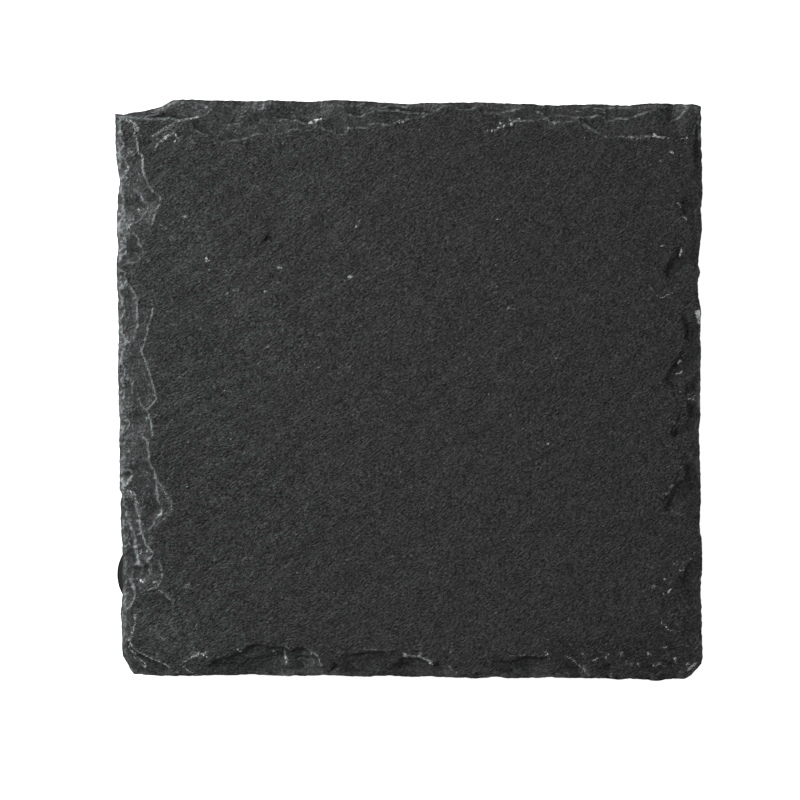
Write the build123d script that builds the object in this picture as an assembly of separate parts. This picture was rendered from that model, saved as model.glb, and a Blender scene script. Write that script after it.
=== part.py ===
from build123d import *
import os

# A square slab of natural slate whose four edges are dressed by hand, standing on four round
# self-adhesive foam feet. +X is to the right, +Y to the rear and +Z up. The origin is on the
# surface the feet stand on, below the middle of the slab. All dimensions are in millimetres.

# Driving dimensions
SLAB_THICKNESS = 5.6
FOOT_DIAMETER = 13.8
FOOT_THICKNESS = 2.0
FOOT_LOWER_ROUNDING = 0.5
FOOT_UPPER_CHAMFER = 0.15
ADHESIVE_THICKNESS = 0.2
ADHESIVE_MARGIN = 0.3

# Heights that follow from them
ADHESIVE_HEIGHT = FOOT_THICKNESS
SLAB_UNDERSIDE = ADHESIVE_HEIGHT + ADHESIVE_THICKNESS
SLAB_TOP = SLAB_UNDERSIDE + SLAB_THICKNESS

# The mean line of each dressed edge
LEFT_EDGE = -49.5
RIGHT_EDGE = 49.7
FRONT_EDGE = -48.9
REAR_EDGE = 49.0

# The broken outline, edge by edge, anticlockwise from the rear left corner
LEFT_OUTLINE = [
    (-49.9, 46.9),
    (-50.0, 41.0),
    (-49.85, 38.5),
    (-49.35, 35.4),
    (-49.9, 31.2),
    (-49.9, 28.9),
    (-49.65, 24.0),
    (-49.75, 18.0),
    (-49.55, 9.0),
    (-49.6, -1.8),
    (-49.35, -5.5),
    (-49.5, -9.5),
    (-49.4, -17.1),
    (-48.9, -17.9),
    (-49.3, -19.0),
    (-49.25, -23.9),
    (-48.95, -26.5),
    (-48.9, -36.6),
    (-49.2, -38.2),
    (-48.95, -39.4),
    (-48.7, -45.4),
    (-48.1, -46.4),
    (-47.7, -47.4),
    (-46.8, -48.5),
]
FRONT_OUTLINE = [
    (-42.4, -48.7),
    (-32.0, -48.6),
    (-25.0, -48.6),
    (-20.2, -48.9),
    (-12.7, -48.6),
    (-8.6, -48.9),
    (-3.5, -48.7),
    (1.6, -49.0),
    (2.6, -48.8),
    (11.8, -49.1),
    (14.9, -48.85),
    (16.9, -49.15),
    (24.5, -49.0),
    (33.3, -49.1),
    (35.3, -49.4),
    (37.4, -49.1),
    (39.4, -49.3),
    (42.5, -49.55),
    (43.6, -49.3),
    (46.9, -49.15),
]
RIGHT_OUTLINE = [
    (48.0, -48.5),
    (49.0, -47.4),
    (49.8, -46.5),
    (50.0, -45.4),
    (49.9, -38.2),
    (49.65, -34.1),
    (49.9, -31.1),
    (49.85, -26.0),
    (49.4, -22.9),
    (49.7, -18.8),
    (49.7, -14.7),
    (49.35, -7.7),
    (49.7, -4.5),
    (49.6, -1.8),
    (49.7, 3.0),
    (49.65, 13.9),
    (49.2, 15.9),
    (49.1, 18.0),
    (49.7, 20.0),
    (49.2, 21.2),
    (49.85, 27.2),
    (49.75, 30.2),
    (49.95, 33.3),
    (49.8, 42.0),
    (49.65, 48.1),
]
REAR_OUTLINE = [
    (48.6, 48.6),
    (41.4, 48.8),
    (37.4, 48.5),
    (32.2, 48.7),
    (25.1, 48.5),
    (19.0, 48.65),
    (12.8, 49.0),
    (7.7, 48.8),
    (-2.5, 48.85),
    (-7.5, 49.2),
    (-12.7, 49.35),
    (-17.8, 49.1),
    (-22.9, 49.4),
    (-26.0, 49.2),
    (-34.2, 49.35),
    (-37.3, 49.55),
    (-40.3, 49.3),
    (-41.3, 48.7),
    (-42.4, 48.1),
    (-44.4, 47.8),
    (-47.5, 47.0),
    (-48.5, 46.8),
]

# The scars that dressing leaves along each edge: place along the edge, half of the scar's length,
# how far it reaches into the top face, and how deep it is at the edge
LEFT_SCARS = [
    (46.0, 4.0, 3.8, 2.6),
    (40.0, 5.5, 5.5, 3.2),
    (32.0, 6.0, 7.2, 3.4),
    (24.5, 4.5, 4.4, 2.8),
    (15.5, 6.0, 6.2, 3.3),
    (8.0, 4.5, 4.6, 2.8),
    (-0.5, 6.0, 6.5, 3.2),
    (-8.5, 5.0, 6.7, 3.0),
    (-19.0, 7.5, 9.2, 3.4),
    (-29.0, 5.5, 8.2, 3.2),
    (-36.5, 5.5, 8.6, 3.0),
    (-43.5, 5.0, 9.0, 2.8),
]
FRONT_SCARS = [
    (-42.5, 5.0, 6.0, 2.2),
    (-35.5, 5.0, 4.0, 2.2),
    (-24.5, 7.0, 5.6, 2.6),
    (-17.0, 4.5, 4.6, 2.4),
    (-10.0, 5.0, 4.6, 2.4),
    (-2.5, 5.0, 4.5, 2.4),
    (4.5, 4.0, 2.8, 2.0),
    (10.5, 5.0, 2.2, 1.8),
    (20.5, 7.0, 3.9, 2.4),
    (27.5, 4.0, 3.4, 2.2),
    (34.0, 4.5, 3.0, 2.0),
    (41.0, 5.0, 3.8, 2.2),
]
RIGHT_SCARS = [
    (-40.0, 5.5, 4.2, 2.2),
    (-32.0, 5.0, 4.0, 2.2),
    (-24.5, 4.5, 3.6, 2.0),
    (-16.5, 6.0, 5.4, 2.6),
    (-7.5, 4.8, 4.6, 2.4),
    (-1.5, 4.0, 3.4, 2.0),
    (4.5, 5.0, 6.0, 2.6),
    (10.5, 4.5, 3.6, 2.2),
    (17.0, 5.5, 6.8, 2.8),
    (24.0, 5.5, 5.6, 2.4),
    (31.0, 5.0, 3.6, 2.2),
    (38.0, 4.5, 2.8, 2.0),
    (43.5, 4.5, 3.6, 2.2),
]
REAR_SCARS = [
    (42.5, 5.0, 6.0, 2.4),
    (35.5, 5.5, 6.2, 2.4),
    (28.0, 5.0, 3.8, 2.2),
    (20.5, 6.0, 3.9, 2.2),
    (14.0, 4.5, 5.4, 2.4),
    (8.0, 5.0, 2.8, 2.0),
    (1.5, 5.5, 3.0, 2.0),
    (-5.5, 5.5, 4.3, 2.4),
    (-12.0, 5.0, 5.6, 2.4),
    (-20.5, 6.0, 5.2, 2.4),
    (-29.0, 6.5, 6.8, 2.6),
    (-37.0, 5.0, 4.4, 2.4),
    (-43.5, 4.5, 3.4, 2.2),
]

# The scars that break the corners: place, heading of the strike in degrees, and the same sizes
CORNER_SCARS = [
    (-49.2, 47.2, -45, 4.0, 4.2, 2.6),
    (-47.8, -47.6, 45, 6.0, 7.5, 2.8),
    (49.0, -48.2, 135, 4.5, 4.6, 2.4),
    (49.5, 48.4, -135, 4.2, 4.6, 2.4),
]

# Where the middle of each foot is. The front left one stands a little proud of the slab's edge.
FOOT_PLACES = {
    "front_left": (-43.05, -31.6),
    "front_right": (40.5, -38.5),
    "rear_left": (-39.5, 37.5),
    "rear_right": (39.0, 39.5),
}


def scar(x, y, heading, half_length, reach, depth):
    """The sphere that leaves one scar on the top face.

    x and y are the middle of the scar on the edge, and heading is the direction from there into
    the slab. The sphere's centre is beyond the edge and above the top face, such that the scar
    has the given half length along the edge, reach into the face and depth at the edge."""
    rim_radius = (half_length**2 + reach**2) / (2 * reach)
    overhang = rim_radius - reach
    height = (half_length**2 - depth**2) / (2 * depth)
    radius = (rim_radius**2 + height**2) ** 0.5
    outward = Vector(-overhang, 0, 0).rotate(Axis.Z, heading)
    return Pos(x + outward.X, y + outward.Y, SLAB_TOP + height) * Sphere(radius)


def all_scars():
    """Every scar round the slab's four edges and corners."""
    scars = [scar(LEFT_EDGE, y, 0, *sizes) for y, *sizes in LEFT_SCARS]
    scars += [scar(x, FRONT_EDGE, 90, *sizes) for x, *sizes in FRONT_SCARS]
    scars += [scar(RIGHT_EDGE, y, 180, *sizes) for y, *sizes in RIGHT_SCARS]
    scars += [scar(x, REAR_EDGE, 270, *sizes) for x, *sizes in REAR_SCARS]
    scars += [scar(*placed) for placed in CORNER_SCARS]
    return scars


def slate_slab():
    """The slab: its broken outline, upright below, with the scars struck off its top edge."""
    outline = LEFT_OUTLINE + FRONT_OUTLINE + RIGHT_OUTLINE + REAR_OUTLINE
    face = make_face(Polyline(*outline, close=True))
    slab = extrude(Pos(0, 0, SLAB_UNDERSIDE) * face, SLAB_THICKNESS)
    for one_scar in all_scars():
        slab = slab - one_scar
    return slab


def foot(x, y):
    """One die-cut foam foot, rounded where it meets the table."""
    disc = extrude(Circle(FOOT_DIAMETER / 2), FOOT_THICKNESS)
    disc = fillet(disc.edges().sort_by(Axis.Z)[0], FOOT_LOWER_ROUNDING)
    disc = chamfer(disc.edges().sort_by(Axis.Z)[-1], FOOT_UPPER_CHAMFER)
    return Pos(x, y, 0) * disc


def adhesive(x, y):
    """The adhesive disc that holds one foot to the slab."""
    disc = extrude(Circle(FOOT_DIAMETER / 2 - ADHESIVE_MARGIN), ADHESIVE_THICKNESS)
    return Pos(x, y, ADHESIVE_HEIGHT) * disc


def main():
    os.makedirs("parts", exist_ok=True)
    export_step(slate_slab(), "parts/slate_slab.step")
    for place, (x, y) in FOOT_PLACES.items():
        export_step(foot(x, y), f"parts/foot_{place}.step")
        export_step(adhesive(x, y), f"parts/adhesive_{place}.step")


main()
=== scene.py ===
import math

import bpy
import numpy as np
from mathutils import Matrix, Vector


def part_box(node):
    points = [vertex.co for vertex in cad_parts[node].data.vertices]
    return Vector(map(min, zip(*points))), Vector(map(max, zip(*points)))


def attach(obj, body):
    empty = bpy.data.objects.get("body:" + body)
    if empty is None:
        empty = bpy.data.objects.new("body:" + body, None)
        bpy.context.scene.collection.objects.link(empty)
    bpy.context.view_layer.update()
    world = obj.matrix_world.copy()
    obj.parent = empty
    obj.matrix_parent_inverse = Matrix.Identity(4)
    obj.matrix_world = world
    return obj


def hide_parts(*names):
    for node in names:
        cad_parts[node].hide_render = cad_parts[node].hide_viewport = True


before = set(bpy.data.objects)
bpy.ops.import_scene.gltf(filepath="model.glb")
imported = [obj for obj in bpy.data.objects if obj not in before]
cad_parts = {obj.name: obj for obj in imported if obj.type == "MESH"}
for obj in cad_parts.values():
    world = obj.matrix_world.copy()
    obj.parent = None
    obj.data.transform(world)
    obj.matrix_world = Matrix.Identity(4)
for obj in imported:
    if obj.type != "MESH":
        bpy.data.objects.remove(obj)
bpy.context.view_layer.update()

# Lengths in this script are in millimetres until a mesh is made, and MM turns them into metres.
MM = 0.001

SLAB_LOW, SLAB_HIGH = (np.array(corner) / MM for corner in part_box("slate_slab"))

# The slab's mesh: the side of a fine cell, how wide the band of fine cells inside each edge is, how
# many cells across a coarse block of the face and of the underside is, and the rings down the side
CELL = 0.25
FINE_BAND = 8.0
FACE_BLOCK = 2
UNDERSIDE_BLOCK = 8
WALL_LEVELS = 13

# The breaks that dressing left along each edge. A break is a line behind which the stone has split
# away to a lower layer: how far it drops, over what width, and the line itself as x and y. The side
# that has dropped is the one toward the slab's edge.
LEFT_BREAKS = [
    (1, 1.7, [(-47.9, 44.1), (-46.5, 43.1), (-46, 42.1), (-46.2, 40.3), (-45.2, 39.4), (-45.1, 37),
        (-44.3, 34.8), (-43.6, 33.5), (-42.4, 33), (-42.2, 32), (-42.8, 30.4), (-43.9, 27.4),
        (-46.3, 26.3)]),
    (0.9, 1, [(-46.1, 34.3), (-45.6, 33.2), (-44.4, 31), (-45.3, 29.3), (-47, 28.2)]),
    (0.8, 0.7, [(-49, 42.6), (-48.6, 41.6), (-48.8, 40.5)]),
    (0.8, 0.7, [(-47.9, 38.8), (-47.6, 37.4), (-48.1, 36.6)]),
    (1.2, 1.3, [(-47, 27.6), (-46.3, 25.9), (-45.3, 23.8), (-45.2, 22.7), (-46.1, 21.7), (-47.4, 21.5),
        (-49, 20.2)]),
    (0.9, 0.7, [(-48.1, 24.6), (-48, 23.6), (-48.9, 22.4)]),
    (1.5, 1.4, [(-48.3, 19.3), (-47.3, 17.4), (-46.2, 15.4), (-46.1, 11.2), (-46.8, 8.3), (-48, 7.1)]),
    (0.5, 1.2, [(-46, 15.8), (-43.3, 14.3), (-43.9, 11.7), (-44.6, 9.2), (-45.4, 6.5), (-47.5, 5.5)]),
    (0.7, 0.7, [(-48.4, 9.2), (-48.2, 8), (-49.6, 7.2)]),
    (1.2, 1.5, [(-46.4, 9.3), (-45.6, 7.1), (-44.9, 5.2), (-44.3, 3.3), (-43.2, 0), (-43, -1.5),
        (-44.4, -3.5), (-46.5, -4.5)]),
    (0.9, 0.8, [(-49, 3.2), (-47.4, 1.6), (-46.9, 0), (-47.4, -2)]),
    (1, 1.2, [(-46.7, 0.3), (-45.8, -1.2), (-45.5, -2.6), (-44.5, -3.6), (-44, -5), (-43.4, -7.8),
        (-42.7, -8.8), (-44.4, -9.4)]),
    (0.7, 0.7, [(-47.7, -4.3), (-47.6, -5.6), (-47.9, -7)]),
    (0.7, 0.8, [(-48.7, -8.3), (-47.3, -11.2), (-47.6, -12.4)]),
    (1, 0.9, [(-46.4, -6.7), (-45.4, -7.5), (-44.3, -8.8), (-44.2, -11.8), (-42.9, -15.1), (-42.8, -17.8),
        (-42.1, -21), (-43.2, -22.3), (-44.2, -23.8), (-46.5, -25)]),
    (0.8, 2.2, [(-44.5, -14.2), (-42.9, -15.1), (-41.2, -17.6), (-40.3, -19.2), (-40.1, -20.6),
        (-40.4, -21.2), (-42, -22.4), (-45.2, -24.8)]),
    (1.1, 0.8, [(-48, -12.9), (-47, -14.4), (-48.4, -16.4)]),
    (1, 1.1, [(-46.9, -17), (-46.4, -20.2), (-45.7, -23.4), (-44.3, -26.7), (-43.4, -28),
        (-44.3, -29), (-43.7, -30.2), (-44, -32), (-45, -34)]),
    (0.9, 1.9, [(-44.5, -27.5), (-42.6, -28.3), (-41.7, -31), (-42.6, -33.4), (-46, -34.6)]),
    (0.9, 0.9, [(-48.2, -21.2), (-46.5, -25), (-46.1, -29.6), (-45.1, -31.1), (-46.5, -32.2)]),
    (1, 0.9, [(-48.6, -30.2), (-46.9, -33), (-46.5, -34.8), (-47.7, -37.9)]),
    (0.8, 0.7, [(-46.7, -40.2), (-46.6, -41.2), (-47.2, -42.7)]),
]
REAR_BREAKS = [
    (1, 0.8, [(-48.4, 46.5), (-47, 46.2), (-44, 46), (-40.5, 46.1), (-38.6, 45.8), (-37.2, 45.9),
        (-34.2, 46.9), (-33.2, 48)]),
    (1.5, 0.5, [(-47.5, 47.2), (-46, 46.6), (-43.5, 46.6), (-41.6, 47.4)]),
    (0.6, 1.6, [(-38.4, 47.6), (-36.6, 44.4), (-34, 42.8), (-32, 42.1), (-29, 42.4), (-25.4, 43.6),
        (-22.3, 43.4), (-19, 44.3), (-17.5, 43.9), (-15.6, 44.6), (-12.3, 43.6), (-11, 43.2),
        (-10.3, 44.3), (-7, 44.6), (-6.1, 45.2), (-3.2, 45), (-1.4, 45.7), (2.5, 46.4), (5.6, 47.6)]),
    (0.7, 0.7, [(-33, 44.8), (-30.2, 45.2), (-29, 45.1), (-27.2, 46.2)]),
    (0.8, 0.9, [(-24, 47.3), (-23.2, 46.3), (-22, 45.8), (-19.5, 45.7), (-16.3, 45), (-15.4, 45.7),
        (-12.7, 46.4), (-11.8, 47.4)]),
    (0.8, 0.7, [(-30, 49), (-29.3, 48.3), (-25, 48), (-23.5, 48.2)]),
    (0.9, 0.8, [(-12.2, 47.3), (-11.2, 47.4), (-9.4, 46.5), (-8.2, 46.4), (-5.4, 47.5), (-2.4, 47.4),
        (1.5, 46.9), (4, 47), (6, 48)]),
    (0.8, 0.6, [(-8, 48.5), (-7.2, 47.9), (-5.9, 47.8), (-3, 48.2), (2.5, 48.2)]),
    (0.8, 0.8, [(7, 48.3), (8.2, 47.8), (10, 47.4), (12.3, 48.2), (13.2, 47.2), (15.6, 46.9),
        (17, 47.3), (20.2, 48)]),
    (0.6, 1.6, [(13.2, 45.5), (13.6, 43.6), (15.6, 44.6), (18.3, 45.7), (20, 45.6), (23.4, 46),
        (24, 45.4), (25.1, 45.3), (28.6, 45.6), (30.6, 44.3), (32.6, 43.2), (34, 42.9), (39.7, 43.1),
        (43, 42.9), (46.6, 41.9), (48, 42.6), (48.8, 45)]),
    (0.9, 0.9, [(20.4, 47.8), (22.6, 47), (23.3, 46.2), (24.5, 46.6), (28.5, 46.3), (32.4, 46.5),
        (33.5, 45.9), (37.8, 46.1), (39.5, 46.9), (41.5, 47.3), (43.3, 48.4)]),
    (0.7, 0.8, [(41.4, 47.2), (42.3, 47.6), (43.6, 46.2), (44.3, 45.3), (46, 46.4), (47.2, 47.7),
        (48.6, 47.9)]),
    (0.7, 0.6, [(30, 48.3), (31.2, 47.9), (36, 47.9), (39, 47.9)]),
]
FRONT_BREAKS = [
    (0.9, 1.2, [(-35.6, -47.8), (-33, -45.6), (-29.6, -44.9), (-27.2, -43.2), (-25.6, -43),
        (-23.4, -43.5), (-20.9, -43.7), (-20.1, -44.1), (-17.8, -43.5), (-15.9, -44.9), (-14.8, -47)]),
    (0.8, 1.5, [(-31, -46.8), (-28.7, -46.2), (-27.4, -45.4), (-24, -45), (-21.4, -44.4),
        (-20.6, -44.9), (-20.3, -46.4)]),
    (0.8, 1.2, [(-20.1, -46.2), (-19.3, -44.9), (-16, -45), (-15.2, -46.2)]),
    (0.8, 0.6, [(-13.4, -46.6), (-12.4, -46.3), (-11.6, -47), (-12.3, -48.2)]),
    (0.8, 0.7, [(-11.2, -46.9), (-10.2, -45.8), (-9.2, -47.2), (-7, -47.7), (-6, -48.4)]),
    (0.8, 1.4, [(-13, -45.4), (-11.4, -44.5), (-9.4, -44.6), (-5.2, -44.2), (-1, -44.5), (1.4, -45.1),
        (4, -46.4), (5, -46.1), (6.4, -46.6), (8.4, -48.2)]),
    (0.8, 0.8, [(-5.4, -48.1), (-3, -47), (-0.6, -45.2), (2, -45.6), (4.1, -47)]),
    (0.8, 0.5, [(11.8, -48.5), (13.8, -48.6), (14.6, -49.6)]),
    (0.8, 1.3, [(13.3, -47.2), (14.4, -45.7), (17, -45.9), (20, -45.2), (23.4, -45.1), (24.8, -47.4)]),
    (0.7, 0.6, [(15.6, -47.1), (16.6, -47.4), (17.6, -47.2), (18.2, -47.8), (20.4, -47.7), (23.6, -48.3)]),
    (0.8, 1, [(26.2, -46.2), (27, -45.5), (29.4, -46.8), (30.2, -47.8), (31.4, -48.2)]),
    (0.6, 1, [(31.8, -47), (33.4, -46.4), (36, -46.8)]),
    (0.6, 1.2, [(38.6, -47.2), (40.4, -46.2), (43.8, -47), (44.6, -46.2), (46.2, -46.8)]),
]
RIGHT_BREAKS = [
    (0.9, 0.8, [(49.2, 45.8), (48.4, 44), (48.2, 41), (48.5, 38)]),
    (0.7, 1.2, [(48.6, 33.4), (45.9, 31.7), (46.6, 30.6), (46.3, 29.5), (47, 28.7)]),
    (0.9, 1.6, [(47.4, 25.4), (45.8, 24.2), (44.2, 21.4), (43.2, 20), (43.4, 18.9), (45.6, 18),
        (48, 17.2)]),
    (0.9, 1.2, [(48.2, 13.2), (46.4, 12.9), (46.9, 10.4), (46.8, 8.6), (48.5, 6)]),
    (0.8, 1.6, [(47.8, 8.8), (46.3, 6.2), (45.4, 5), (43.7, 2.7), (43.2, 1.6), (44.5, 0.4), (46.6, -0.2),
        (48.4, -1)]),
    (0.9, 1, [(47.6, 1.9), (46.8, 0.8), (46.9, -1), (48, -1.7)]),
    (0.9, 0.9, [(48.2, -1.7), (47.1, -1.8), (47.8, -4.8), (48.1, -6.4)]),
    (0.7, 1.4, [(46.4, -4.6), (45, -6.8), (44.2, -7.9), (47.4, -9.4)]),
    (0.9, 1.8, [(47.6, -10.4), (46.8, -11.2), (47, -14.4), (45.4, -16), (43.8, -18.6), (43.2, -20.6),
        (44.2, -21.6), (46.4, -21.4)]),
    (0.7, 0.9, [(47, -15.2), (47.2, -16.4), (48.8, -18.6)]),
    (0.7, 1.4, [(48.8, -27.2), (46.4, -30.8), (46.2, -33), (48.2, -36.4)]),
    (0.7, 1.6, [(46.9, -36.6), (46.3, -40), (46.4, -41.8), (49, -45.6)]),
]
# The same at the corners, each with the heading toward the corner in degrees
CORNER_BREAKS = [
    (225, 0.7, 0.7, [(-49.6, -41), (-47.5, -42.8), (-46.1, -44.5), (-42.8, -46), (-40.8, -47),
        (-39, -49.6)]),
    (225, 1, 0.8, [(-49, -43), (-47.9, -44.4), (-45.7, -46.3), (-44.6, -47.2), (-43.8, -49.6)]),
    (315, 1.3, 1.2, [(46.2, -50), (47.2, -48), (48.3, -46.9), (49.2, -45.6), (50.2, -45.4)]),
]
# Low steps on the face: how they head, how far they drop, over what width, how far from their line
# they run out, and the line
FACE_STEPS = [
    (225, 0.16, 0.5, 6, [(-42.4, -34.2), (-40.9, -35.2), (-38, -38.4), (-35.9, -40.3)]),
    (225, 0.14, 0.5, 6, [(-35.9, -40.9), (-35.4, -42.5), (-33.2, -45.2)]),
    (225, 0.16, 0.3, 3, [(41.9, -39.3), (43.3, -39.9), (44.2, -40.9), (45.6, -41.6), (46.8, -43)]),
    (270, 0.12, 0.3, 3, [(43.7, -40.2), (44.3, -39.6), (45, -39.3), (45.8, -39.8)]),
    (60, 0.14, 0.3, 3, [(41.3, 17.2), (41.7, 16.1), (43.1, 15.6), (44.6, 16.4)]),
    (110, 0.14, 0.4, 3, [(-43.2, 41.4), (-42.6, 43.4), (-41.3, 44.3), (-39.6, 44.9), (-38.6, 45.4)]),
    (250, 0.12, 0.3, 3, [(-40.9, 43), (-39.6, 43.1), (-38.9, 42.3)]),
    (150, 0.1, 0.4, 3, [(-39.6, 35), (-39.2, 36.5), (-37.2, 39)]),
]
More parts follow.
